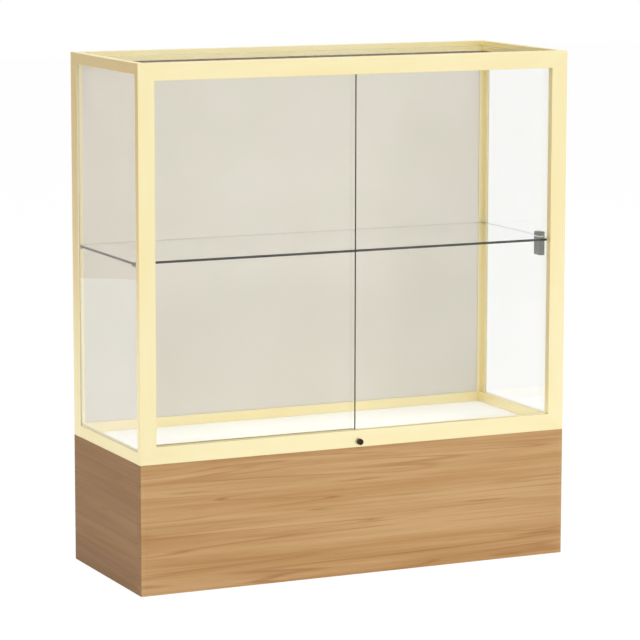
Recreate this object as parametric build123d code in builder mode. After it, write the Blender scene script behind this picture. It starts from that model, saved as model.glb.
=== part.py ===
from build123d import *
import math
import os

# Wooden display case: a veneered box base that carries a glazed metal cabinet with two sliding glass doors.
# Millimetres, +Z up, the front faces -Y, the origin is the middle of the underside.

os.makedirs("parts", exist_ok=True)

# Overall size
case_width = 914.4
case_depth = 355.6
case_height = 1016.0
base_height = 254.0

# Wooden base
panel_thickness = 19.05
corner_strip_width = 8.0
corner_strip_round = 1.5
corner_block_size = 22.0
block_screw_radius = 2.0
block_screw_head_radius = 4.0
block_screw_head_height = 2.2
block_screw_bite = 12.0
block_screw_end_distance = 45.0
block_screw_stagger = 25.0

# Front frame, mitred at its corners
front_face = 33.5
front_depth = 15.0
frame_wall = 1.8
edge_round = 0.8
corner_key_leg = 35.0

# Side rails
side_rail_width = 15.0
top_rail_height = 22.0
bottom_rail_height = 24.5
spigot_length = 25.0
spigot_pocket = 8.0

# Back posts and back rails
back_post_face = 19.0
back_post_depth = 34.0
back_rail_depth = 21.0
back_spigot_entry = 5.5
rear_screw_inset = 10.8
rear_screw_radius = 2.0
rear_screw_head_radius = 3.8
rear_screw_length = 39.0

# Glass and its seals
glass_thickness = 4.8
top_glass_thickness = 6.0
top_glass_recess = 10.0
top_glass_gap = 1.0
glazing_wall = 1.2
glazing_groove = 7.0
rear_glazing_groove = 12.0
seal_wall = 0.3
seal_edge = 0.5
ledge_width = 6.0
ledge_thickness = 1.8
ledge_end_inset = 20.0
glass_tape_thickness = 1.0
glass_tape_width = 5.0

# Back panel and white deck
back_panel_thickness = 4.0
back_panel_setback = 2.0
back_panel_groove = 6.0
deck_thickness = 4.5

# Flanges and screws that hold the frame down on the base
flange_width = 14.0
flange_thickness = 1.8
flange_screw_setback = 9.0
flange_screw_radius = 1.6
flange_screw_head_radius = 3.2
flange_screw_length = 16.0
flange_screw_count = 4
flange_screw_end_distance = 42.0
side_flange_screw_end_distance = 70.0

# Shelf
shelf_underside = 633.1
shelf_front_setback = 42.0
shelf_side_inset = 9.0
clip_front_setback = 73.5
clip_length = 21.0
clip_width = 12.5
clip_bottom = 599.5
clip_top = 647.0
clip_round = 2.5
clip_tape_thickness = 0.7
clip_pad_thickness = 1.0
shelf_pin_radius = 2.0
shelf_pin_inset = 10.4
shelf_pin_reach = 10.0
shelf_pin_bite = 11.0
shelf_front_pin_bite = 8.0

# Sliding doors
meeting_x = 3.0
door_overlap = 4.0
shoe_wall = 1.2
shoe_height = 13.0
shoe_floor = 2.5
glide_thickness = 1.5
glide_length = 30.0
glide_inset = 20.0
running_gap = 0.2
glass_head_lap = 8.5

# Door tracks
track_wall = 1.8
track_floor = 1.8
track_rib = 2.6
track_rib_height = 2.0
track_lip_height = 5.5
track_side_clearance = 0.6
track_screw_radius = 1.6
track_screw_head_radius = 3.2
lower_track_screw_length = 32.0
lower_track_screw_end_distance = 60.0
track_screw_count = 4
upper_track_height = 13.0
upper_track_web = 3.0
upper_track_screw_length = 8.0
upper_track_screw_drop = 6.5
upper_track_screw_end_distance = 80.0
bumper_length = 5.0
bumper_height = 12.0

# Lock under the meeting edges of the doors
lock_height = 10.7
lock_room = 10.5
lock_collar_radius = 6.0
lock_collar_reach = 6.5
lock_body_radius = 4.75
lock_groove_radius = 4.25
lock_groove_width = 1.2
lock_plug_radius = 3.55
lock_plug_setback = 0.3
keyway_width = 1.2
keyway_height = 4.8
keyway_depth = 6.0
lock_tail_radius = 2.0
cam_reach = 10.4
cam_half_width = 3.0
cam_hub_radius = 3.6
cam_side_clearance = 0.4
cam_slot_clearance = 0.3
cam_screw_radius = 1.2
cam_screw_head_radius = 2.6
cam_screw_head_height = 1.4
cam_screw_bite = 5.0
strike_length = 4.0
strike_height = 4.0
strike_clearance = 0.8
strike_pass_gap = 0.6
spring_clip_width = 15.0
spring_clip_height = 14.0
spring_clip_thickness = 1.0

# Fits
turning_fit = 0.2
assembly_gap = 0.3
hole_fit = 0.1
stop_gap = 0.3

# Planes and heights that the pieces share
side_x = case_width / 2
front_y = -case_depth / 2
back_y = case_depth / 2
frame_y = front_y + front_depth
back_rail_y = back_y - back_rail_depth
back_post_y = back_y - back_post_depth
glass_groove_near = glazing_wall
glass_near = glazing_wall + seal_wall
glass_far = glass_near + glass_thickness
glass_groove_far = glass_far + seal_wall
leg_width = glass_groove_far + glazing_wall
top_rail_z = case_height - top_rail_height
bottom_rail_z = base_height + bottom_rail_height
chamber_far = side_rail_width - frame_wall
seal_z = (bottom_rail_z - glazing_groove, top_rail_z + glazing_groove)
top_chamber = (top_rail_z + glazing_groove + frame_wall, case_height - frame_wall)
bottom_chamber = (base_height + frame_wall, bottom_rail_z - glazing_groove - frame_wall)
top_glass_top = case_height - top_glass_recess
top_glass_bottom = top_glass_top - top_glass_thickness
ledge_top = top_glass_bottom - glass_tape_thickness
ledge_bottom = ledge_top - ledge_thickness
deck_top = base_height + deck_thickness
flange_top = base_height + flange_thickness
base_top_bottom = base_height - panel_thickness
panel_front_y = back_rail_y + back_panel_setback
panel_back_y = panel_front_y + back_panel_thickness
back_chamber = (panel_back_y + hole_fit + frame_wall, back_y - frame_wall)
shelf_top = shelf_underside + glass_thickness

# Door and track places
shoe_width = glass_thickness + 2 * shoe_wall
channel_width = shoe_width + 2 * track_side_clearance
front_channel_y = frame_y + track_wall + channel_width / 2
rear_channel_y = front_channel_y + channel_width + track_rib
rib_y = (front_channel_y + rear_channel_y) / 2
track_back_y = rear_channel_y + channel_width / 2 + track_wall
track_end_x = side_x - side_rail_width - assembly_gap
track_floor_bottom = deck_top + lock_room
track_floor_top = track_floor_bottom + track_floor
track_rib_top = track_floor_top + track_rib_height
track_top = track_floor_top + track_lip_height
upper_track_top = ledge_bottom - assembly_gap
upper_track_bottom = upper_track_top - upper_track_height
upper_channel_half = glass_thickness / 2 + track_side_clearance
shoe_bottom = track_floor_top + running_gap + glide_thickness
shoe_top = shoe_bottom + shoe_height
door_glass_bottom = shoe_bottom + shoe_floor
door_glass_top = upper_track_bottom + glass_head_lap
door_outer_x = track_end_x - bumper_length - stop_gap
doors = {
    "left": (-door_outer_x, meeting_x + door_overlap, rear_channel_y),
    "right": (meeting_x, door_outer_x, front_channel_y),
}
sides = {"left": -1, "right": 1}

# Lock places
lock_x = meeting_x
lock_z = base_height + lock_height
shoe_gap = track_rib + 2 * track_side_clearance
cam_half_depth = shoe_gap / 2 - cam_side_clearance
cam_y = (rib_y - cam_half_depth, rib_y + cam_half_depth)
strike_bottom = track_rib_top + strike_clearance
strike_rise = strike_bottom - lock_z
swept_reach = math.sqrt((cam_reach + cam_slot_clearance) ** 2 - strike_rise**2)
strike_depth = (shoe_gap - strike_pass_gap) / 2


def inset(side, near, far):
    """The two X values, low then high, of a strip that lies this far in from one side of the case."""
    return sorted((side * (side_x - near), side * (side_x - far)))


def spaced(reach, count):
    """Evenly spaced X values from -reach to reach."""
    return [reach * (2 * step / (count - 1) - 1) for step in range(count)]


def bar(x_span, y_span, z_span, mode=Mode.ADD):
    """A square-cornered length between two corners, in the part that is being built."""
    width = x_span[1] - x_span[0]
    depth = y_span[1] - y_span[0]
    with BuildSketch(Plane.XY.offset(z_span[0])) as section:
        with Locations((x_span[0] + width / 2, y_span[0] + depth / 2)):
            Rectangle(width, depth)
    extrude(section.sketch, amount=z_span[1] - z_span[0], mode=mode)


def rod(start, direction, radius, length, mode=Mode.ADD):
    """A round length from start along direction."""
    with Locations(Plane(origin=start, z_dir=direction)):
        Cylinder(radius, length, align=(Align.CENTER, Align.CENTER, Align.MIN), mode=mode)


def flat_screw(start, direction, radius, head_radius, length, mode=Mode.ADD):
    """A screw whose flat head lies flush at start, or with Mode.SUBTRACT its hole."""
    rod(start, direction, radius, length, mode)
    with Locations(Plane(origin=start, z_dir=direction)):
        Cone(
            head_radius,
            radius,
            head_radius - radius,
            align=(Align.CENTER, Align.CENTER, Align.MIN),
            mode=mode,
        )


def save(piece, name):
    piece.label = name
    export_step(piece, f"parts/{name}.step")


# Base: two side panels, a front panel between solid corner strips, a back panel, a top and a bottom
base_z = (0, base_height)
inner_x = side_x - panel_thickness
inner_y = back_y - panel_thickness
block_top = base_top_bottom
block_bottom = panel_thickness
block_screw_length = corner_block_size + block_screw_bite
block_screws = []
for x_side in (-1, 1):
    for y_side in (-1, 1):
        for end, step in ((block_bottom, 1), (block_top, -1)):
            across_z = end + step * block_screw_end_distance
            along_z = across_z + step * block_screw_stagger
            face_x = x_side * (inner_x - corner_block_size)
            face_y = y_side * (inner_y - corner_block_size)
            middle_x = x_side * (inner_x - corner_block_size / 2)
            middle_y = y_side * (inner_y - corner_block_size / 2)
            block_screws.append(((face_x, middle_y, across_z), (x_side, 0, 0)))
            block_screws.append(((middle_x, face_y, along_z), (0, y_side, 0)))


def block_screw_holes():
    for start, direction in block_screws:
        rod(start, direction, block_screw_radius + hole_fit, block_screw_length, Mode.SUBTRACT)


with BuildPart() as base_front_panel:
    bar(
        (corner_strip_width - side_x, side_x - corner_strip_width),
        (front_y, front_y + panel_thickness),
        base_z,
    )
    block_screw_holes()
save(base_front_panel.part, "base_front_panel")

with BuildPart() as base_back_panel:
    bar((-inner_x, inner_x), (inner_y, back_y), base_z)
    block_screw_holes()
save(base_back_panel.part, "base_back_panel")

for name, side in sides.items():
    with BuildPart() as base_side_panel:
        bar(inset(side, 0, panel_thickness), (front_y + panel_thickness, back_y), base_z)
        block_screw_holes()
    save(base_side_panel.part, f"base_{name}_panel")

    with BuildPart() as corner_strip:
        bar(
            inset(side, 0, corner_strip_width),
            (front_y, front_y + panel_thickness),
            base_z,
        )
        outer_face = corner_strip.faces().sort_by(Axis.X)[-1 if side > 0 else 0]
        fillet(outer_face.edges().filter_by(Axis.Z).sort_by(Axis.Y)[0], corner_strip_round)
    save(corner_strip.part, f"base_{name}_corner_strip")

flange_screws = []
flange_screw_reach = side_x - side_rail_width - flange_screw_end_distance
for x in spaced(flange_screw_reach, flange_screw_count):
    flange_screws.append((x, frame_y + flange_screw_setback))
    flange_screws.append((x, back_rail_y - flange_screw_setback))
for side in sides.values():
    for y in (frame_y + side_flange_screw_end_distance, back_rail_y - side_flange_screw_end_distance):
        flange_screws.append((side * (side_x - side_rail_width - flange_screw_setback), y))
lower_track_screw_reach = track_end_x - lower_track_screw_end_distance
track_screws = [(x, rear_channel_y) for x in spaced(lower_track_screw_reach, track_screw_count)]
down = (0, 0, -1)


def flange_screw_holes():
    for x, y in flange_screws:
        flat_screw(
            (x, y, flange_top),
            down,
            flange_screw_radius + hole_fit,
            flange_screw_head_radius + hole_fit,
            flange_screw_length,
            Mode.SUBTRACT,
        )


def track_screw_holes():
    for x, y in track_screws:
        flat_screw(
            (x, y, track_floor_top),
            down,
            track_screw_radius + hole_fit,
            track_screw_head_radius + hole_fit,
            lower_track_screw_length,
            Mode.SUBTRACT,
        )


with BuildPart() as base_top_panel:
    bar((-inner_x, inner_x), (-inner_y, inner_y), (base_top_bottom, base_height))
    flange_screw_holes()
    track_screw_holes()
save(base_top_panel.part, "base_top_panel")

with BuildPart() as base_bottom_panel:
    bar((-inner_x, inner_x), (-inner_y, inner_y), (0, panel_thickness))
save(base_bottom_panel.part, "base_bottom_panel")

with BuildPart() as base_corner_blocks:
    for x_side in (-1, 1):
        for y_side in (-1, 1):
            bar(
                sorted((x_side * inner_x, x_side * (inner_x - corner_block_size))),
                sorted((y_side * inner_y, y_side * (inner_y - corner_block_size))),
                (block_bottom, block_top),
            )
    block_screw_holes()
save(base_corner_blocks.part, "base_corner_blocks")

with BuildPart() as base_block_screws:
    for start, direction in block_screws:
        rod(start, direction, block_screw_radius, block_screw_length)
        away = tuple(-part for part in direction)
        rod(start, away, block_screw_head_radius, block_screw_head_height)
save(base_block_screws.part, "base_block_screws")

# Front frame: four mitred box lengths
lock_start = (lock_x, front_y - lock_collar_reach, lock_z)
backwards = (0, 1, 0)
front_pin_z = shelf_underside - shelf_pin_radius
front_pin_start = (shelf_pin_inset - side_x, frame_y - shelf_front_pin_bite, front_pin_z)
front_pin_length = shelf_front_pin_bite + shelf_front_setback - front_depth + shelf_pin_reach
groove_span = (frame_y - glazing_groove, frame_y)
key_near = side_rail_width + assembly_gap
key_far = front_face - frame_wall


def frame_length(points):
    """A solid length with mitred ends, from its four corners on the front."""
    with BuildSketch(Plane.XZ.offset(-frame_y)) as face:
        with BuildLine():
            Polyline(*points, close=True)
        make_face()
    extrude(face.sketch, amount=front_depth)


def spigot_pockets():
    """Pockets in the back of the front corners for the spigots of the side rails."""
    for side in sides.values():
        for chamber in (top_chamber, bottom_chamber):
            bar(
                inset(side, frame_wall, chamber_far),
                (frame_y - spigot_pocket, frame_y),
                chamber,
                Mode.SUBTRACT,
            )


for name, side in sides.items():
    outer = side * side_x
    inner = side * (side_x - front_face)
    with BuildPart() as front_post:
        frame_length(
            (
                (outer, base_height),
                (outer, case_height),
                (inner, case_height - front_face),
                (inner, base_height + front_face),
            )
        )
        fillet(front_post.faces().sort_by(Axis.Y)[0].edges().filter_by(Axis.Z), edge_round)
        bar(
            inset(side, key_near, key_far),
            (front_y + frame_wall, frame_y - frame_wall),
            (base_height, case_height),
            Mode.SUBTRACT,
        )
        bar(
            inset(side, frame_wall, key_near - frame_wall),
            (front_y + frame_wall, frame_y - glazing_groove - frame_wall),
            (base_height, case_height),
            Mode.SUBTRACT,
        )
        bar(inset(side, glass_groove_near, glass_groove_far), groove_span, seal_z, Mode.SUBTRACT)
        rod(front_pin_start, backwards, shelf_pin_radius + hole_fit, front_pin_length, Mode.SUBTRACT)
        spigot_pockets()
    save(front_post.part, f"front_{name}_post")

upper_track_screw_z = upper_track_top - upper_track_screw_drop
upper_track_screw_reach = track_end_x - upper_track_screw_end_distance
upper_track_screws = [(x, upper_track_screw_z) for x in spaced(upper_track_screw_reach, track_screw_count)]
upper_channel_front = front_channel_y - upper_channel_half
forwards = (0, -1, 0)


def upper_track_screw_holes():
    for x, z in upper_track_screws:
        flat_screw(
            (x, upper_channel_front, z),
            forwards,
            track_screw_radius + hole_fit,
            track_screw_head_radius + hole_fit,
            upper_track_screw_length,
            Mode.SUBTRACT,
        )


with BuildPart() as front_top_rail:
    frame_length(
        (
            (-side_x, case_height),
            (side_x, case_height),
            (side_x - front_face, case_height - front_face),
            (front_face - side_x, case_height - front_face),
        )
    )
    fillet(front_top_rail.faces().sort_by(Axis.Y)[0].edges().filter_by(Axis.X), edge_round)
    bar(
        (-side_x, side_x),
        (front_y + frame_wall, frame_y - frame_wall),
        (case_height - key_far, case_height - frame_wall),
        Mode.SUBTRACT,
    )
    bar(
        (ledge_end_inset - side_x, side_x - ledge_end_inset),
        (frame_y, frame_y + ledge_width),
        (ledge_bottom, ledge_top),
    )
    spigot_pockets()
    upper_track_screw_holes()
save(front_top_rail.part, "front_top_rail")

with BuildPart() as front_bottom_rail:
    frame_length(
        (
            (-side_x, base_height),
            (side_x, base_height),
            (side_x - front_face, base_height + front_face),
            (front_face - side_x, base_height + front_face),
        )
    )
    fillet(front_bottom_rail.faces().sort_by(Axis.Y)[0].edges().filter_by(Axis.X), edge_round)
    bar(
        (-side_x, side_x),
        (front_y + frame_wall, frame_y - frame_wall),
        (base_height + frame_wall, base_height + key_far),
        Mode.SUBTRACT,
    )
    bar(
        (side_rail_width + assembly_gap - side_x, side_x - side_rail_width - assembly_gap),
        (frame_y, frame_y + flange_width),
        (base_height, flange_top),
    )
    spigot_pockets()
    flange_screw_holes()
    lock_hole_length = lock_collar_reach + front_depth
    rod(lock_start, backwards, lock_body_radius + hole_fit, lock_hole_length, Mode.SUBTRACT)
save(front_bottom_rail.part, "front_bottom_rail")

key_end = front_face + corner_key_leg
key_low = key_near + hole_fit
key_high = key_far - hole_fit
key_outline = (
    (key_low, key_low),
    (key_end, key_low),
    (key_end, key_high),
    (key_high, key_high),
    (key_high, key_end),
    (key_low, key_end),
)
with BuildPart() as front_corner_keys:
    for side in sides.values():
        for level, upright in ((case_height, -1), (base_height, 1)):
            points = [(side * (side_x - a), level + upright * b) for a, b in key_outline]
            with BuildSketch(Plane.XZ.offset(-(frame_y - frame_wall - hole_fit))):
                with BuildLine():
                    Polyline(*points, close=True)
                make_face()
            extrude(amount=front_depth - 2 * frame_wall - 2 * hole_fit)
save(front_corner_keys.part, "front_corner_keys")

# Side rails: grooved for the side glass, notched behind for the leg of the back post
for name, side in sides.items():
    for level, z_span, chamber in (
        ("top", (top_rail_z, case_height), top_chamber),
        ("bottom", (base_height, bottom_rail_z), bottom_chamber),
    ):
        top = level == "top"
        groove_z = (top_rail_z, seal_z[1]) if top else (seal_z[0], bottom_rail_z)
        with BuildPart() as side_rail:
            bar(inset(side, 0, side_rail_width), (frame_y, back_rail_y), z_span)
            outer_face = side_rail.faces().sort_by(Axis.X)[-1 if side > 0 else 0]
            fillet(outer_face.edges().filter_by(Axis.Y), edge_round)
            bar(inset(side, 0, leg_width), (back_post_y, back_rail_y), z_span, Mode.SUBTRACT)
            bar(
                inset(side, glass_groove_near, glass_groove_far),
                (frame_y, back_post_y),
                groove_z,
                Mode.SUBTRACT,
            )
            bar(inset(side, frame_wall, chamber_far), (frame_y, back_rail_y), chamber, Mode.SUBTRACT)
            if top:
                bar(
                    inset(side, side_rail_width, side_rail_width + ledge_width),
                    (frame_y + ledge_width + assembly_gap, back_rail_y - ledge_width - assembly_gap),
                    (ledge_bottom, ledge_top),
                )
            else:
                bar(
                    inset(side, side_rail_width, side_rail_width + flange_width),
                    (frame_y + flange_width + assembly_gap, back_rail_y - flange_width - assembly_gap),
                    (base_height, flange_top),
                )
                flange_screw_holes()
        save(side_rail.part, f"{name}_{level}_rail")

with BuildPart() as side_rail_spigots:
    for side in sides.values():
        for chamber in (top_chamber, bottom_chamber):
            bar(
                inset(side, frame_wall + hole_fit, chamber_far - hole_fit),
                (frame_y - spigot_pocket + hole_fit, frame_y + spigot_length),
                (chamber[0] + hole_fit, chamber[1] - hole_fit),
            )
save(side_rail_spigots.part, "side_rail_spigots")

rear_screws = []
for side in sides.values():
    for chamber in (top_chamber, bottom_chamber):
        rear_screws.append((side * (side_x - rear_screw_inset), back_y, sum(chamber) / 2))

with BuildPart() as side_rail_plugs:
    for side in sides.values():
        for chamber in (top_chamber, bottom_chamber):
            bar(
                inset(side, leg_width + hole_fit, chamber_far - hole_fit),
                (back_rail_y - spigot_length, back_rail_y - hole_fit),
                (chamber[0] + hole_fit, chamber[1] - hole_fit),
            )
    for start in rear_screws:
        rod(start, forwards, rear_screw_radius + hole_fit, rear_screw_length + hole_fit, Mode.SUBTRACT)
save(side_rail_plugs.part, "side_rail_plugs")

with BuildPart() as side_rail_screws:
    for start in rear_screws:
        flat_screw(start, forwards, rear_screw_radius, rear_screw_head_radius, rear_screw_length)
save(side_rail_screws.part, "side_rail_screws")

# Back posts: a square block with a forward leg that is slotted for the side glass
back_spigots = ((base_height, bottom_rail_z), (top_rail_z, case_height))
spigot_far = back_post_face - back_spigot_entry
shelf_pin_length = shelf_pin_reach + shelf_pin_bite
shelf_pins = [
    (side * (side_x - shelf_pin_inset), back_rail_y - shelf_pin_reach, shelf_underside - shelf_pin_radius)
    for side in sides.values()
]
for name, side in sides.items():
    with BuildPart() as back_post:
        bar(inset(side, 0, back_post_face), (back_rail_y, back_y), (base_height, case_height))
        bar(inset(side, 0, leg_width), (back_post_y, back_rail_y), (base_height, case_height))
        outer_face = back_post.faces().sort_by(Axis.X)[-1 if side > 0 else 0]
        fillet(outer_face.edges().filter_by(Axis.Z), edge_round)
        bar(
            inset(side, glass_groove_near, glass_groove_far),
            (back_post_y, back_post_y + rear_glazing_groove),
            seal_z,
            Mode.SUBTRACT,
        )
        bar(
            inset(side, frame_wall, back_post_face - frame_wall),
            back_chamber,
            (base_height + frame_wall, case_height - frame_wall),
            Mode.SUBTRACT,
        )
        bar(
            inset(side, back_post_face - back_panel_groove, back_post_face),
            (panel_front_y - hole_fit, panel_back_y + hole_fit),
            (bottom_rail_z - back_panel_groove, top_rail_z + back_panel_groove),
            Mode.SUBTRACT,
        )
        for low, high in back_spigots:
            bar(
                inset(side, spigot_far, back_post_face),
                back_chamber,
                (low + frame_wall, high - frame_wall),
                Mode.SUBTRACT,
            )
        for start in rear_screws:
            flat_screw(
                start,
                forwards,
                rear_screw_radius + hole_fit,
                rear_screw_head_radius + hole_fit,
                back_rail_depth,
                Mode.SUBTRACT,
            )
        for start in shelf_pins:
            rod(start, backwards, shelf_pin_radius + hole_fit, shelf_pin_length, Mode.SUBTRACT)
    save(back_post.part, f"back_{name}_post")

# Back rails between the posts
rail_end_x = side_x - back_post_face
with BuildPart() as back_top_rail:
    bar((-rail_end_x, rail_end_x), (back_rail_y, back_y), (top_rail_z, case_height))
    bar(
        (-rail_end_x, rail_end_x),
        back_chamber,
        (top_rail_z + frame_wall, case_height - frame_wall),
        Mode.SUBTRACT,
    )
    bar(
        (-rail_end_x, rail_end_x),
        (panel_front_y - hole_fit, panel_back_y + hole_fit),
        (top_rail_z, top_rail_z + back_panel_groove),
        Mode.SUBTRACT,
    )
    bar(
        (ledge_end_inset - side_x, side_x - ledge_end_inset),
        (back_rail_y - ledge_width, back_rail_y),
        (ledge_bottom, ledge_top),
    )
save(back_top_rail.part, "back_top_rail")

with BuildPart() as back_bottom_rail:
    bar((-rail_end_x, rail_end_x), (back_rail_y, back_y), (base_height, bottom_rail_z))
    bar(
        (-rail_end_x, rail_end_x),
        back_chamber,
        (base_height + frame_wall, bottom_rail_z - frame_wall),
        Mode.SUBTRACT,
    )
    bar(
        (-rail_end_x, rail_end_x),
        (panel_front_y - hole_fit, panel_back_y + hole_fit),
        (bottom_rail_z - back_panel_groove, bottom_rail_z),
        Mode.SUBTRACT,
    )
    bar(
        (ledge_end_inset - side_x, side_x - ledge_end_inset),
        (back_rail_y - flange_width, back_rail_y),
        (base_height, flange_top),
    )
    flange_screw_holes()
save(back_bottom_rail.part, "back_bottom_rail")

with BuildPart() as back_rail_spigots:
    for side in sides.values():
        for low, high in back_spigots:
            bar(
                inset(side, spigot_far + hole_fit, back_post_face + spigot_length),
                (back_chamber[0] + hole_fit, back_chamber[1] - hole_fit),
                (low + frame_wall + hole_fit, high - frame_wall - hole_fit),
            )
save(back_rail_spigots.part, "back_rail_spigots")

with BuildPart() as frame_screws:
    for x, y in flange_screws:
        flat_screw(
            (x, y, flange_top),
            down,
            flange_screw_radius,
            flange_screw_head_radius,
            flange_screw_length,
        )
save(frame_screws.part, "frame_screws")

# Back panel and deck
with BuildPart() as back_panel:
    panel_reach = back_panel_groove - seal_edge
    bar(
        (-rail_end_x - panel_reach, rail_end_x + panel_reach),
        (panel_front_y, panel_back_y),
        (bottom_rail_z - panel_reach, top_rail_z + panel_reach),
    )
save(back_panel.part, "back_panel")

deck_x = side_x - side_rail_width - assembly_gap
deck_front = frame_y + assembly_gap
deck_back = back_rail_y - assembly_gap
with BuildPart() as deck_panel:
    bar((-deck_x, deck_x), (deck_front, deck_back), (flange_top + hole_fit, deck_top))
    bar(
        (flange_width + assembly_gap - deck_x, deck_x - flange_width - assembly_gap),
        (deck_front + flange_width, deck_back - flange_width),
        (base_height, flange_top + hole_fit),
    )
    track_screw_holes()
save(deck_panel.part, "deck_panel")

# Side glass in its clear channel seals
seal_y = (frame_y - glazing_groove, back_post_y + rear_glazing_groove)
glass_y = (seal_y[0] + seal_edge, seal_y[1] - seal_edge)
glass_z = (seal_z[0] + seal_edge, seal_z[1] - seal_edge)
for name, side in sides.items():
    with BuildPart() as side_glass:
        bar(inset(side, glass_near, glass_far), glass_y, glass_z)
    save(side_glass.part, f"{name}_side_glass")

    with BuildPart() as glass_seal:
        bar(inset(side, glass_groove_near, glass_groove_far), seal_y, seal_z)
        bar(
            inset(side, glass_groove_near, glass_groove_far),
            (frame_y, back_post_y),
            (bottom_rail_z, top_rail_z),
            Mode.SUBTRACT,
        )
        bar(inset(side, glass_near, glass_far), glass_y, glass_z, Mode.SUBTRACT)
    save(glass_seal.part, f"{name}_glass_seal")

# Top glass on its tape
tape_x = side_x - side_rail_width - assembly_gap
tape_y = (frame_y + assembly_gap, back_rail_y - assembly_gap)
with BuildPart() as top_glass_tape:
    bar((-tape_x, tape_x), tape_y, (ledge_top, top_glass_bottom))
    bar(
        (glass_tape_width - tape_x, tape_x - glass_tape_width),
        (tape_y[0] + glass_tape_width, tape_y[1] - glass_tape_width),
        (ledge_top, top_glass_bottom),
        Mode.SUBTRACT,
    )
save(top_glass_tape.part, "top_glass_tape")

with BuildPart() as top_glass:
    glass_x = side_x - side_rail_width - top_glass_gap
    bar(
        (-glass_x, glass_x),
        (frame_y + top_glass_gap, back_rail_y - top_glass_gap),
        (top_glass_bottom, top_glass_top),
    )
save(top_glass.part, "top_glass")

# Shelf, its clip at the right side glass and its three pins
shelf_x = side_x - shelf_side_inset
with BuildPart() as shelf_glass:
    bar(
        (-shelf_x, shelf_x),
        (front_y + shelf_front_setback, back_rail_y - top_glass_gap),
        (shelf_underside, shelf_top),
    )
save(shelf_glass.part, "shelf_glass")

clip_near = glass_far + clip_tape_thickness
clip_far = clip_near + clip_width
clip_y = (front_y + clip_front_setback, front_y + clip_front_setback + clip_length)
slot_z = (shelf_underside - clip_pad_thickness, shelf_top + clip_pad_thickness)
clip_side = sides["right"]
with BuildPart() as right_shelf_clip:
    bar(inset(clip_side, clip_near, clip_far), clip_y, (clip_bottom, clip_top))
    fillet(right_shelf_clip.faces().sort_by(Axis.X)[0].edges().filter_by(Axis.Y), clip_round)
    bar(inset(clip_side, shelf_side_inset - assembly_gap, clip_far), clip_y, slot_z, Mode.SUBTRACT)
save(right_shelf_clip.part, "right_shelf_clip")

with BuildPart() as shelf_clip_pads:
    for z_span in ((slot_z[0], shelf_underside), (shelf_top, slot_z[1])):
        bar(inset(clip_side, shelf_side_inset, clip_far), clip_y, z_span)
    bar(inset(clip_side, glass_far, clip_near), clip_y, (clip_bottom, clip_top))
save(shelf_clip_pads.part, "shelf_clip_pads")

with BuildPart() as shelf_pin_set:
    for start in shelf_pins:
        rod(start, backwards, shelf_pin_radius, shelf_pin_length)
    rod(front_pin_start, backwards, shelf_pin_radius, front_pin_length)
save(shelf_pin_set.part, "shelf_pins")

# Lower track: a raised floor with two channels, a hollow under it for the lock
cam_slot_x = (lock_x - cam_half_width - cam_slot_clearance, lock_x + cam_reach + cam_slot_clearance)
cam_slot_y = (cam_y[0] - cam_slot_clearance, cam_y[1] + cam_slot_clearance)
rib_span = (rib_y - track_rib / 2, rib_y + track_rib / 2)
with BuildPart() as lower_track:
    track_x = (-track_end_x, track_end_x)
    bar(track_x, (frame_y, track_back_y), (deck_top, track_top))
    bar(
        track_x,
        (frame_y + track_wall, track_back_y - track_wall),
        (track_floor_top, track_top),
        Mode.SUBTRACT,
    )
    bar(
        track_x,
        (frame_y + track_wall, track_back_y - track_wall),
        (deck_top, track_floor_bottom),
        Mode.SUBTRACT,
    )
    bar(track_x, rib_span, (track_floor_top, track_rib_top))
    bar(cam_slot_x, cam_slot_y, (track_floor_bottom, track_rib_top), Mode.SUBTRACT)
    rod(
        (lock_x, frame_y, lock_z),
        backwards,
        lock_tail_radius + cam_slot_clearance,
        track_wall,
        Mode.SUBTRACT,
    )
    track_screw_holes()
save(lower_track.part, "lower_track")

with BuildPart() as lower_track_screws:
    for x, y in track_screws:
        flat_screw(
            (x, y, track_floor_top),
            down,
            track_screw_radius,
            track_screw_head_radius,
            lower_track_screw_length,
        )
save(lower_track_screws.part, "lower_track_screws")

with BuildPart() as track_bumpers:
    for side in sides.values():
        for y in (front_channel_y, rear_channel_y):
            bar(
                sorted((side * track_end_x, side * (track_end_x - bumper_length))),
                (y - channel_width / 2, y + channel_width / 2),
                (track_floor_top, track_floor_top + bumper_height),
            )
save(track_bumpers.part, "track_bumpers")

# Upper track: two open-bottomed channels that guide the heads of the doors
with BuildPart() as upper_track:
    bar((-track_end_x, track_end_x), (frame_y, track_back_y), (upper_track_bottom, upper_track_top))
    for y in (front_channel_y, rear_channel_y):
        bar(
            (-track_end_x, track_end_x),
            (y - upper_channel_half, y + upper_channel_half),
            (upper_track_bottom, upper_track_top - upper_track_web),
            Mode.SUBTRACT,
        )
    upper_track_screw_holes()
save(upper_track.part, "upper_track")

with BuildPart() as upper_track_screw_set:
    for x, z in upper_track_screws:
        flat_screw(
            (x, upper_channel_front, z),
            forwards,
            track_screw_radius,
            track_screw_head_radius,
            upper_track_screw_length,
        )
save(upper_track_screw_set.part, "upper_track_screws")

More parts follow.
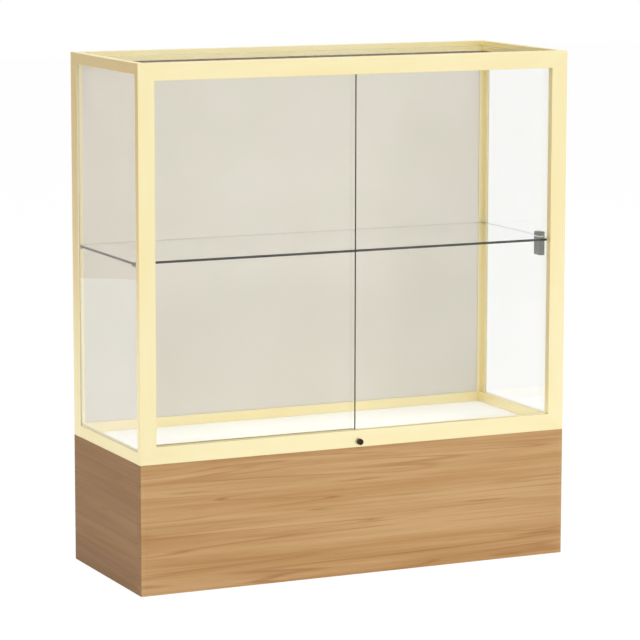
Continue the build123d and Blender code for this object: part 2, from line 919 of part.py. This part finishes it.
# Doors: glass in a bottom shoe with two glides and a strike that the raised lock cam stops
strikes = {
    "left": (lock_x - cam_half_width - cam_side_clearance - strike_length, 1),
    "right": (lock_x + swept_reach, -1),
}
for name, (x_low, x_high, y) in doors.items():
    shoe_y = (y - shoe_width / 2, y + shoe_width / 2)
    pane_y = (y - glass_thickness / 2, y + glass_thickness / 2)
    with BuildPart() as door_glass:
        bar((x_low, x_high), pane_y, (door_glass_bottom, door_glass_top))
    save(door_glass.part, f"{name}_door_glass")

    with BuildPart() as door_shoe:
        bar((x_low, x_high), shoe_y, (shoe_bottom, shoe_top))
        bar((x_low, x_high), pane_y, (door_glass_bottom, shoe_top), Mode.SUBTRACT)
    save(door_shoe.part, f"{name}_door_shoe")

    with BuildPart() as door_glides:
        for x in (x_low + glide_inset, x_high - glide_inset - glide_length):
            bar((x, x + glide_length), shoe_y, (shoe_bottom - glide_thickness, shoe_bottom))
    save(door_glides.part, f"{name}_door_glides")

    strike_x, facing = strikes[name]
    shoe_face = y - facing * shoe_width / 2
    with BuildPart() as door_strike:
        bar(
            (strike_x, strike_x + strike_length),
            sorted((shoe_face, shoe_face - facing * strike_depth)),
            (strike_bottom, strike_bottom + strike_height),
        )
    save(door_strike.part, f"{name}_door_strike")

# Lock: a barrel in the front rail, a plug that turns in it, and a cam that swings up between the strikes
plug_front_y = front_y - lock_collar_reach + lock_plug_setback
cam_screw_start = (lock_x, cam_y[1], lock_z)
with BuildPart() as lock_barrel:
    rod(lock_start, backwards, lock_collar_radius, lock_collar_reach)
    fillet(lock_barrel.faces().sort_by(Axis.Y)[0].edges(), edge_round)
    rod((lock_x, front_y, lock_z), backwards, lock_body_radius, front_depth)
    groove_start = (lock_x, front_y + frame_wall, lock_z)
    rod(groove_start, backwards, lock_body_radius, lock_groove_width, Mode.SUBTRACT)
    rod(groove_start, backwards, lock_groove_radius, lock_groove_width)
    rod(lock_start, backwards, lock_plug_radius + turning_fit, lock_hole_length, Mode.SUBTRACT)
save(lock_barrel.part, "lock_barrel")

with BuildPart() as lock_plug:
    rod((lock_x, plug_front_y, lock_z), backwards, lock_plug_radius, frame_y - plug_front_y)
    rod((lock_x, frame_y, lock_z), backwards, lock_tail_radius, cam_y[1] - frame_y)
    bar(
        (lock_x - keyway_width / 2, lock_x + keyway_width / 2),
        (plug_front_y, plug_front_y + keyway_depth),
        (lock_z - keyway_height / 2, lock_z + keyway_height / 2),
        Mode.SUBTRACT,
    )
    rod(cam_screw_start, forwards, cam_screw_radius + hole_fit, cam_screw_bite + hole_fit, Mode.SUBTRACT)
save(lock_plug.part, "lock_plug")

with BuildPart() as lock_cam:
    with BuildSketch(Plane.XZ.offset(-cam_y[1])):
        with Locations((lock_x + cam_reach / 2, lock_z)):
            Rectangle(cam_reach, 2 * cam_half_width)
        with Locations((lock_x, lock_z)):
            Circle(cam_reach, mode=Mode.INTERSECT)
            Circle(cam_hub_radius)
            Circle(lock_tail_radius + hole_fit / 2, mode=Mode.SUBTRACT)
    extrude(amount=2 * cam_half_depth)
save(lock_cam.part, "lock_cam")

with BuildPart() as lock_cam_screw:
    rod(cam_screw_start, forwards, cam_screw_radius, cam_screw_bite)
    rod(cam_screw_start, backwards, cam_screw_head_radius, cam_screw_head_height)
save(lock_cam_screw.part, "lock_cam_screw")

with BuildPart() as lock_spring_clip:
    clip_low_z = lock_z - lock_body_radius - frame_wall
    with BuildSketch(Plane.XZ.offset(-(front_y + frame_wall + spring_clip_thickness))):
        with Locations((lock_x, clip_low_z + spring_clip_height / 2)):
            Rectangle(spring_clip_width, spring_clip_height)
        with Locations((lock_x, lock_z)):
            Circle(lock_groove_radius + hole_fit, mode=Mode.SUBTRACT)
        with Locations((lock_x, (clip_low_z + lock_z) / 2)):
            Rectangle(2 * (lock_groove_radius + hole_fit), lock_z - clip_low_z, mode=Mode.SUBTRACT)
    extrude(amount=spring_clip_thickness)
save(lock_spring_clip.part, "lock_spring_clip")

print("left door travel", round(door_outer_x - doors["left"][1], 3))
print("right door travel", round(doors["right"][0] + door_outer_x, 3))
print("cam above the strikes' lower edge", round(cam_reach - strike_rise, 3))
print("lock axis", lock_x, round(front_y, 3), lock_z)
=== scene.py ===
import math

import bpy
from mathutils import Euler, Matrix, Vector

# Wooden display case: veneered box base, pale gold anodised frame, float glass and two sliding doors.
# Metres, +Z up, the front faces -Y, and every node already stands where it belongs.

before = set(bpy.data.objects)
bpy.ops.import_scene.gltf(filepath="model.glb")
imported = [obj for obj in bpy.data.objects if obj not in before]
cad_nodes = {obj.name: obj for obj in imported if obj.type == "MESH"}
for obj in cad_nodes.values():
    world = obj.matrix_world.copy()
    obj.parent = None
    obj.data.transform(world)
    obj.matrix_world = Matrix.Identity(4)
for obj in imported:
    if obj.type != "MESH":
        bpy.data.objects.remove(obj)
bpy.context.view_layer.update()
MM = 0.001

# Which nodes are made of what
VENEERED_ACROSS_THE_FRONT = ["base_front_panel", "base_back_panel"]
VENEERED_ALONG_THE_SIDE = ["base_left_panel", "base_right_panel"]
SOLID_WOOD_EDGES = ["base_left_corner_strip", "base_right_corner_strip"]
PLYWOOD = ["base_top_panel", "base_bottom_panel", "base_corner_blocks"]
GOLD_LENGTHS = {
    "X": [
        "front_top_rail",
        "front_bottom_rail",
        "back_top_rail",
        "back_bottom_rail",
        "lower_track",
        "upper_track",
        "left_door_shoe",
        "right_door_shoe",
    ],
    "Y": ["left_top_rail", "right_top_rail", "left_bottom_rail", "right_bottom_rail"],
    "Z": ["front_left_post", "front_right_post", "back_left_post", "back_right_post"],
}
MILL_FINISHED = ["front_corner_keys", "side_rail_spigots", "side_rail_plugs", "back_rail_spigots"]
PANES = {
    "X": ["left_side_glass", "right_side_glass"],
    "Y": ["left_door_glass", "right_door_glass"],
    "Z": ["shelf_glass", "top_glass"],
}
CLEAR_VINYL = ["left_glass_seal", "right_glass_seal", "top_glass_tape", "shelf_clip_pads"]
GREY_CLIPS = ["right_shelf_clip", "shelf_pins"]
NYLON = ["left_door_glides", "right_door_glides"]
ZINC_PLATED = [
    "base_block_screws",
    "side_rail_screws",
    "frame_screws",
    "lower_track_screws",
    "upper_track_screws",
    "left_door_strike",
    "right_door_strike",
    "lock_cam",
    "lock_cam_screw",
    "lock_spring_clip",
]
DARK_BRONZE = ["lock_barrel", "lock_plug"]
BLACK_RUBBER = ["track_bumpers"]


def linear(hex_colour):
    """An sRGB hex colour as the linear colour that a shader takes."""
    parts = [int(hex_colour[i : i + 2], 16) / 255 for i in (0, 2, 4)]
    return tuple(c / 12.92 if c <= 0.04045 else ((c + 0.055) / 1.055) ** 2.4 for c in parts) + (1.0,)


def add(tree, kind, inputs=None, stops=(), **settings):
    """Adds a node with its settings, its inputs and, for a colour ramp, its (position, hex colour) stops.
    An input is a value, or the node or output socket that feeds it."""
    stops = list(stops)
    made = tree.nodes.new("ShaderNode" + kind)
    for name, value in settings.items():
        setattr(made, name, value)
    elements = made.color_ramp.elements if stops else []
    while len(elements) < len(stops):
        elements.new(0.5)
    for element, (position, colour) in zip(elements, stops):
        element.position = position
        element.color = linear(colour)
    for name, value in (inputs or {}).items():
        if isinstance(value, bpy.types.Node):
            value = next(socket for socket in value.outputs if socket.enabled)
        if isinstance(value, bpy.types.NodeSocket):
            tree.links.new(value, made.inputs[name])
        else:
            made.inputs[name].default_value = value
    return made


def new_material(name):
    """An empty material and its node tree."""
    material = bpy.data.materials.new(name)
    material.use_nodes = True
    material.node_tree.nodes.clear()
    return material, material.node_tree


def paint(material, names):
    """Gives these nodes that material alone."""
    for name in names:
        slots = cad_nodes[name].data.materials
        slots.clear()
        slots.append(material)


def lumps(tree, sizes_mm, detail=2.0, distortion=0.0, offset=(0.0, 0.0, 0.0)):
    """Inputs for a noise whose lumps are this many millimetres along X, Y and Z."""
    place = add(tree, "TexCoord").outputs["Object"]
    scale = [1 / (size * MM) for size in sizes_mm]
    vector = add(tree, "Mapping", {"Vector": place, "Scale": scale, "Location": offset})
    return {"Vector": vector, "Scale": 1.0, "Detail": detail, "Distortion": distortion}


def lengthwise(axis, along, across):
    """Pattern sizes for an axis: along it, and across it."""
    return [along if letter == axis else across for letter in "XYZ"]


def limits(low, high, start, end):
    """Map Range limits, from one range of values to another."""
    return {"From Min": low, "From Max": high, "To Min": start, "To Max": end}


def turned_from(tree, axis):
    """1 on faces that don't face along this axis, and 0 on those that do."""
    normal = add(tree, "TexCoord").outputs["Normal"]
    facing = add(tree, "SeparateXYZ", {"Vector": normal}).outputs[axis]
    towards = add(tree, "Math", {0: facing}, operation="ABSOLUTE")
    return add(tree, "Math", {0: towards, 1: 0.5}, operation="LESS_THAN")


# Noise seldom leaves this range, so roughness is spread over it
NOISE_RANGE = (0.3, 0.7)
TWO_TONE_STOPS = (0.35, 0.65)

# Veneer: sliced wood under a matt lacquer, with soft level bands, thin growth lines and fine pores.
# Each pattern has a length along the grain and a width across it, in millimetres. Real pores are
# about 0.3 mm wide, too fine to show, so they are drawn coarser.
BAND = (700.0, 34.0)
GROWTH = (900.0, 30.0)
STREAK = (420.0, 5.0)
PORE = (60.0, 1.6)
STREAK_SHARE = 0.4
GROWTH_LINES = 4.5
LINE_HALF_WIDTH = 0.13
TONE_STOPS = (0.40, 0.50, 0.60)
PALE_STREAKS = (0.38, 0.56)
FADED_LINE = 0.25
OPEN_PORES = (0.56, 0.74)
PIT_SHARE = 0.4
LACQUER_ROUGHNESS = (0.52, 0.42)
LACQUER_SPECULAR = 0.2
PORE_RELIEF = 0.15 * MM


def lacquered_veneer(name, axis, tones, line_depth, offset, side_shade_tones=None):
    """Veneer in three tones, dark to light. Faces that don't face the front or back take the side shade
    tones, which are painted shade.
    """
    material, tree = new_material(name)
    bands = add(tree, "TexNoise", lumps(tree, lengthwise(axis, *BAND), 2.0, 0.4, offset))
    growth = add(tree, "TexNoise", lumps(tree, lengthwise(axis, *GROWTH), 2.0, 0.6, offset))
    streaks = add(tree, "TexNoise", lumps(tree, lengthwise(axis, *STREAK), 4.0, 0.0, offset))
    pores = add(tree, "TexNoise", lumps(tree, lengthwise(axis, *PORE), 2.0, 0.0, offset))

    figure = add(tree, "Mix", {"Factor": STREAK_SHARE, "A": bands, "B": streaks})
    colour = add(tree, "ValToRGB", {"Fac": figure}, zip(TONE_STOPS, tones))
    # Painted shade: faces turned away from the front and back take the darker side tones
    if side_shade_tones:
        side_shade_colour = add(tree, "ValToRGB", {"Fac": figure}, zip(TONE_STOPS, side_shade_tones))
        split = {"Factor": turned_from(tree, "Y"), "A": colour, "B": side_shade_colour}
        colour = add(tree, "Mix", split, data_type="RGBA")

    # Growth lines follow the levels of one noise, and fade where the streaks are pale
    counted = add(tree, "Math", {0: growth, 1: GROWTH_LINES}, operation="MULTIPLY")
    folded = add(tree, "Math", {0: counted, 1: 0.5}, operation="PINGPONG")
    line = add(tree, "MapRange", {"Value": folded, **limits(0.0, LINE_HALF_WIDTH, line_depth, 0.0)})
    fading = add(tree, "MapRange", {"Value": streaks, **limits(*PALE_STREAKS, FADED_LINE, 1.0)})
    lines = add(tree, "Math", {0: line, 1: fading}, operation="MULTIPLY")
    pits = add(tree, "MapRange", {"Value": pores, **limits(*OPEN_PORES, 0.0, PIT_SHARE * line_depth)})
    darker = add(tree, "Math", {0: lines, 1: pits}, operation="MAXIMUM")
    darkened = {"A": colour, "B": linear(tones[0]), "Factor": darker}

    gloss = {"Value": streaks, **limits(*NOISE_RANGE, *LACQUER_ROUGHNESS)}
    lacquer = {
        "Base Color": add(tree, "Mix", darkened, data_type="RGBA", blend_type="MULTIPLY"),
        "Roughness": add(tree, "MapRange", gloss),
        "Normal": add(tree, "Bump", {"Height": pores, "Strength": 0.12, "Distance": PORE_RELIEF}),
        "Specular IOR Level": LACQUER_SPECULAR,
    }
    add(tree, "OutputMaterial", {"Surface": add(tree, "BsdfPrincipled", lacquer)})
    return material


# Plywood: raw rotary-cut birch, pale and matt, on the faces that stay hidden or underneath
PLYWOOD_GRAIN = (260.0, 14.0, 14.0)
PLYWOOD_TONES = [(0.35, "b8966a"), (0.55, "cdb089"), (0.7, "d9c19c")]


def raw_plywood():
    material, tree = new_material("raw_birch_plywood")
    figure = add(tree, "TexNoise", lumps(tree, PLYWOOD_GRAIN, 4.0, 1.2))
    colour = add(tree, "ValToRGB", {"Fac": figure}, PLYWOOD_TONES)
    shader = add(tree, "BsdfPrincipled", {"Base Color": colour, "Roughness": 0.75})
    add(tree, "OutputMaterial", {"Surface": shader})
    return material


# Anodised aluminium: an extruded length with faint die lines, etched satin and dyed pale gold.
# Real die lines are about 0.1 mm apart, too fine to show, so they are drawn coarser.
DIE_LINE = (300.0, 0.9)
DYE_CLOUD = (280.0, 70.0)
GOLD_TONES = ("fcedb7", "fef2c3")
SATIN_ROUGHNESS = (0.30, 0.40)
DIE_LINE_RELIEF = 0.05 * MM


def gold_anodised(axis):
    """The finish of the lengths that run along this axis."""
    material, tree = new_material(f"gold_anodised_aluminium_{axis.lower()}")
    die_lines = add(tree, "TexNoise", lumps(tree, lengthwise(axis, *DIE_LINE), 3.0))
    clouds = add(tree, "TexNoise", lumps(tree, lengthwise(axis, *DYE_CLOUD), 2.0))
    satin = {"Value": die_lines, **limits(*NOISE_RANGE, *SATIN_ROUGHNESS)}
    anodised = {
        "Base Color": add(tree, "ValToRGB", {"Fac": clouds}, zip(TWO_TONE_STOPS, GOLD_TONES)),
        "Metallic": 0.85,
        "Roughness": add(tree, "MapRange", satin),
        "Normal": add(tree, "Bump", {"Height": die_lines, "Strength": 0.08, "Distance": DIE_LINE_RELIEF}),
    }
    add(tree, "OutputMaterial", {"Surface": add(tree, "BsdfPrincipled", anodised)})
    return material


# Plain metals: mill-finished aluminium, zinc-plated steel, grey anodised clips and the bronze-plated lock.
# A fine even grain moves their colour and gloss a little.
def plain_metal(name, tones, metallic, smoothest, roughest, grain_mm):
    material, tree = new_material(name)
    grain = add(tree, "TexNoise", lumps(tree, (grain_mm,) * 3, 4.0))
    gloss = {"Value": grain, **limits(*NOISE_RANGE, smoothest, roughest)}
    metal = {
        "Base Color": add(tree, "ValToRGB", {"Fac": grain}, zip(TWO_TONE_STOPS, tones)),
        "Metallic": metallic,
        "Roughness": add(tree, "MapRange", gloss),
    }
    add(tree, "OutputMaterial", {"Surface": add(tree, "BsdfPrincipled", metal)})
    return material


# Float glass: clear through its faces, nearly black where the eye meets a cut edge,
# and open to the lamps, so that what stands behind it is lit
GLASS_RIPPLE = (90.0, 90.0, 90.0)
GLASS_FACE_TONES = [(0.4, "fefffe"), (0.6, "ffffff")]
GLASS_EDGE_TONES = [(0.4, "17140f"), (0.6, "25211a")]
GLASS_PASSES = "fdfdfc"
GLASS_IOR = 1.5
CUT_EDGE_ROUGHNESS = 0.35
CUT_EDGE_SPECULAR = 0.2


def float_glass(axis):
    """The glass of the panes whose faces look along this axis."""
    material, tree = new_material(f"float_glass_{axis.lower()}")
    ripple = add(tree, "TexNoise", lumps(tree, GLASS_RIPPLE))
    polished = {
        "Base Color": add(tree, "ValToRGB", {"Fac": ripple}, GLASS_FACE_TONES),
        "Roughness": 0.0,
        "IOR": GLASS_IOR,
        "Transmission Weight": 1.0,
    }
    cut = {
        "Base Color": add(tree, "ValToRGB", {"Fac": ripple}, GLASS_EDGE_TONES),
        "Roughness": CUT_EDGE_ROUGHNESS,
        "IOR": GLASS_IOR,
        "Specular IOR Level": CUT_EDGE_SPECULAR,
    }
    face = add(tree, "BsdfPrincipled", polished)
    edge = add(tree, "BsdfPrincipled", cut)
    seen = add(tree, "MixShader", {0: turned_from(tree, axis), 1: face, 2: edge})
    rays = add(tree, "LightPath").outputs
    lighting = add(tree, "Math", {0: rays["Is Shadow Ray"], 1: rays["Is Diffuse Ray"]}, operation="MAXIMUM")
    passing = add(tree, "BsdfTransparent", {"Color": linear(GLASS_PASSES)})
    pane = add(tree, "MixShader", {0: lighting, 1: seen, 2: passing})
    add(tree, "OutputMaterial", {"Surface": pane})
    return material


# Clear vinyl: extruded glazing channel and tape, milky and slightly glossy
VINYL_CLOUD = (12.0, 12.0, 12.0)
VINYL_TONES = ("f0ede0", "f8f6ee")


def clear_vinyl():
    material, tree = new_material("clear_soft_vinyl")
    cloud = add(tree, "TexNoise", lumps(tree, VINYL_CLOUD))
    colour = add(tree, "ValToRGB", {"Fac": cloud}, zip(TWO_TONE_STOPS, VINYL_TONES))
    shader = add(tree, "BsdfPrincipled", {"Base Color": colour, "Roughness": 0.35, "IOR": 1.5})
    add(tree, "OutputMaterial", {"Surface": shader})
    return material


# Melamine-faced board: a smooth satin face with a very faint orange-peel from the press plate
PRESS_PATCH = (180.0, 180.0, 180.0)
ORANGE_PEEL = (2.5, 2.5, 2.5)
PEEL_RELIEF = 0.05 * MM


def melamine_board(name, tones):
    material, tree = new_material(name)
    patches = add(tree, "TexNoise", lumps(tree, PRESS_PATCH, 1.0))
    peel = add(tree, "TexNoise", lumps(tree, ORANGE_PEEL, 1.0))
    face = {
        "Base Color": add(tree, "ValToRGB", {"Fac": patches}, zip(TWO_TONE_STOPS, tones)),
        "Roughness": 0.45,
        "Normal": add(tree, "Bump", {"Height": peel, "Strength": 0.05, "Distance": PEEL_RELIEF}),
        "IOR": 1.5,
    }
    add(tree, "OutputMaterial", {"Surface": add(tree, "BsdfPrincipled", face)})
    return material


# Moulded nylon and rubber: dull, with the fine pitted skin of the mould
MOULD_SPECKLE = (3.0, 3.0, 3.0)
SPECKLE_RELIEF = 0.1 * MM


def moulded(name, tones, roughness):
    material, tree = new_material(name)
    speckle = add(tree, "TexNoise", lumps(tree, MOULD_SPECKLE, 3.0))
    skin = {
        "Base Color": add(tree, "ValToRGB", {"Fac": speckle}, zip(TWO_TONE_STOPS, tones)),
        "Roughness": roughness,
        "Normal": add(tree, "Bump", {"Height": speckle, "Strength": 0.1, "Distance": SPECKLE_RELIEF}),
    }
    add(tree, "OutputMaterial", {"Surface": add(tree, "BsdfPrincipled", skin)})
    return material


# The veneer's tones, dark to light, and where each leaf is cut from the noise
FRONT_TONES = ("bb905f", "c39b6b", "cba577")
# Painted shade: the side tones are darker than the front ones, standing in for the shade on the sides, not
# a darker leaf
SHADED_SIDE_TONES = ("aa7d4c", "b08350", "b68956")
CORNER_TONES = ("bd9261", "c59d6d", "cda77a")
FRONT_CUT = (3.1, 0.0, 7.4)
SIDE_CUT = (0.0, 5.2, 1.3)

front_veneer = lacquered_veneer("lacquered_veneer_front", "X", FRONT_TONES, 0.5, FRONT_CUT)
side_veneer = lacquered_veneer("lacquered_veneer_side", "Y", SHADED_SIDE_TONES, 0.2, SIDE_CUT)
# The corner strips' side faces get the painted-shade side tones
corner_wood = lacquered_veneer("lacquered_corner_wood", "X", CORNER_TONES, 0.45, FRONT_CUT, SHADED_SIDE_TONES)
paint(front_veneer, VENEERED_ACROSS_THE_FRONT)
paint(side_veneer, VENEERED_ALONG_THE_SIDE)
paint(corner_wood, SOLID_WOOD_EDGES)
paint(raw_plywood(), PLYWOOD)
for axis, lengths in GOLD_LENGTHS.items():
    paint(gold_anodised(axis), lengths)
for axis, panes in PANES.items():
    paint(float_glass(axis), panes)
paint(clear_vinyl(), CLEAR_VINYL)
paint(melamine_board("white_melamine_back", ("dcd7cb", "dfdad0")), ["back_panel"])
paint(melamine_board("white_melamine_deck", ("fcfcf9", "fefefc")), ["deck_panel"])
paint(plain_metal("mill_finished_aluminium", ("b4b6b8", "c6c8ca"), 1.0, 0.35, 0.5, 4.0), MILL_FINISHED)
paint(plain_metal("zinc_plated_steel", ("a4a6aa", "bcbec0"), 1.0, 0.25, 0.4, 2.0), ZINC_PLATED)
paint(plain_metal("grey_anodised_clip", ("7c8186", "8a8f95"), 0.6, 0.35, 0.5, 3.0), GREY_CLIPS)
paint(plain_metal("bronze_plated_brass", ("33241f", "463229"), 0.7, 0.3, 0.45, 2.0), DARK_BRONZE)
paint(moulded("natural_nylon", ("dcd9ce", "e6e4da"), 0.5), NYLON)
paint(moulded("black_rubber", ("161616", "202020"), 0.8), BLACK_RUBBER)

# Camera at the photograph's place: the case turned to show its left side, a little from above
CAMERA_PLACE = (-2.591, -5.557, 1.422)
CAMERA_AZIMUTH = 25.0
CAMERA_DOWN = 8.73
CAMERA_ROLL = 0.09
FOCAL_LENGTH_MM = 174.9
SENSOR_WIDTH_MM = 36.0
CLIP_END = 50.0


def make_camera():
    camera = bpy.data.objects.new("camera", bpy.data.cameras.new("camera"))
    bpy.context.scene.collection.objects.link(camera)
    camera.data.lens = FOCAL_LENGTH_MM
    camera.data.sensor_width = SENSOR_WIDTH_MM
    camera.data.clip_end = CLIP_END
    tilt = math.radians(90.0 - CAMERA_DOWN)
    turn = Euler((tilt, 0.0, math.radians(-CAMERA_AZIMUTH))).to_matrix().to_4x4()
    roll = Matrix.Rotation(math.radians(CAMERA_ROLL), 4, "Z")
    camera.matrix_world = Matrix.Translation(CAMERA_PLACE) @ turn @ roll
    bpy.context.scene.camera = camera


# Lamps: two large softboxes, one in front and to the right of the case and one above it
SOFTBOX_SIZE = 3.0
KEY_PLACE = (1.6, -5.0, 2.4)
KEY_TARGET = (0.0, 0.0, 0.55)
KEY_WATTS = 90.0
OVERHEAD_PLACE = (0.0, -0.6, 4.0)
OVERHEAD_TARGET = (0.0, 0.0, 0.5)
OVERHEAD_WATTS = 135.0


def softbox(name, place, target, watts):
    """A square lamp that faces its target and isn't seen in the panes."""
    lamp = bpy.data.lights.new(name, "AREA")
    lamp.size = SOFTBOX_SIZE
    lamp.energy = watts
    holder = bpy.data.objects.new(name, lamp)
    holder.location = place
    holder.rotation_euler = (Vector(target) - Vector(place)).to_track_quat("-Z", "Y").to_euler()
    holder.visible_glossy = False
    holder.visible_transmission = False
    bpy.context.scene.collection.objects.link(holder)


# World: white where it is seen, mirrored or looked at through glass, and a softer fill for everything else
WHITE = linear("ffffff")
SEEN_WHITE = 1.0
FILL = 0.30


def background_rays(tree):
    """1 for rays that see, mirror or look through to the background."""
    rays = add(tree, "LightPath").outputs
    mirrored = {0: rays["Is Glossy Ray"], 1: rays["Is Transmission Ray"]}
    seen = {0: rays["Is Camera Ray"], 1: add(tree, "Math", mirrored, operation="MAXIMUM")}
    return add(tree, "Math", seen, operation="MAXIMUM")


def light_world():
    world = bpy.data.worlds.new("studio")
    bpy.context.scene.world = world
    world.use_nodes = True
    tree = world.node_tree
    tree.nodes.clear()
    fill = add(tree, "Background", {"Color": WHITE, "Strength": FILL})
    seen = add(tree, "Background", {"Color": WHITE, "Strength": SEEN_WHITE})
    both = add(tree, "MixShader", {0: background_rays(tree), 1: fill, 2: seen})
    add(tree, "OutputWorld", {"Surface": both})


def studio_sheet(name, corners, material):
    """A flat sheet of four corners, linked into the scene with its material."""
    mesh = bpy.data.meshes.new(name)
    mesh.from_pydata(corners, [], [(0, 1, 2, 3)])
    mesh.materials.append(material)
    sheet = bpy.data.objects.new(name, mesh)
    bpy.context.scene.collection.objects.link(sheet)
    return sheet


# Floor: pale paint that keeps a soft shadow, lifted towards white where it is seen
FLOOR_LIFT = 0.92
FLOOR_GLOW = 1.05
FLOOR_REACH = 14.0
FLOOR_LEVEL = -0.0005


def pale_floor():
    material, tree = new_material("matt_white_floor_paint")
    painted = add(tree, "BsdfDiffuse", {"Color": linear("f4f4f2")})
    lift = add(tree, "Emission", {"Color": WHITE, "Strength": FLOOR_GLOW})
    amount = add(tree, "Math", {0: background_rays(tree), 1: FLOOR_LIFT}, operation="MULTIPLY")
    both = add(tree, "MixShader", {0: amount, 1: painted, 2: lift})
    add(tree, "OutputMaterial", {"Surface": both})
    around = [(-1, -1), (1, -1), (1, 1), (-1, 1)]
    corners = [(FLOOR_REACH * x, FLOOR_REACH * y, FLOOR_LEVEL) for x, y in around]
    floor = studio_sheet("studio_floor", corners, material)


# Cards that only the metal and glass mirror: a tan one shades the left faces of the frame,
# and a dark brown one behind the case draws the dark line along the front of the top glass
LEFT_CARD = [(-6.0, 1.0, 0.0), (-1.2, 4.5, 0.0), (-1.2, 4.5, 3.0), (-6.0, 1.0, 3.0)]
REAR_CARD = [(-2.5, 3.6, 1.2), (6.0, 3.6, 1.2), (6.0, 3.6, 1.5), (-2.5, 3.6, 1.5)]


def mirrored_card(name, corners, colour):
    material, tree = new_material(name)
    glow = add(tree, "Emission", {"Color": linear(colour), "Strength": 1.0})
    add(tree, "OutputMaterial", {"Surface": glow})
    card = studio_sheet(name, corners, material)
    card.visible_camera = False
    card.visible_diffuse = False
    card.visible_transmission = False
    card.visible_shadow = False


make_camera()
light_world()
pale_floor()
mirrored_card("left_tan_card", LEFT_CARD, "cebcaa")
mirrored_card("rear_brown_card", REAR_CARD, "4e3424")
softbox("key_softbox", KEY_PLACE, KEY_TARGET, KEY_WATTS)
softbox("overhead_softbox", OVERHEAD_PLACE, OVERHEAD_TARGET, OVERHEAD_WATTS)
bpy.context.scene.view_settings.view_transform = "Standard"
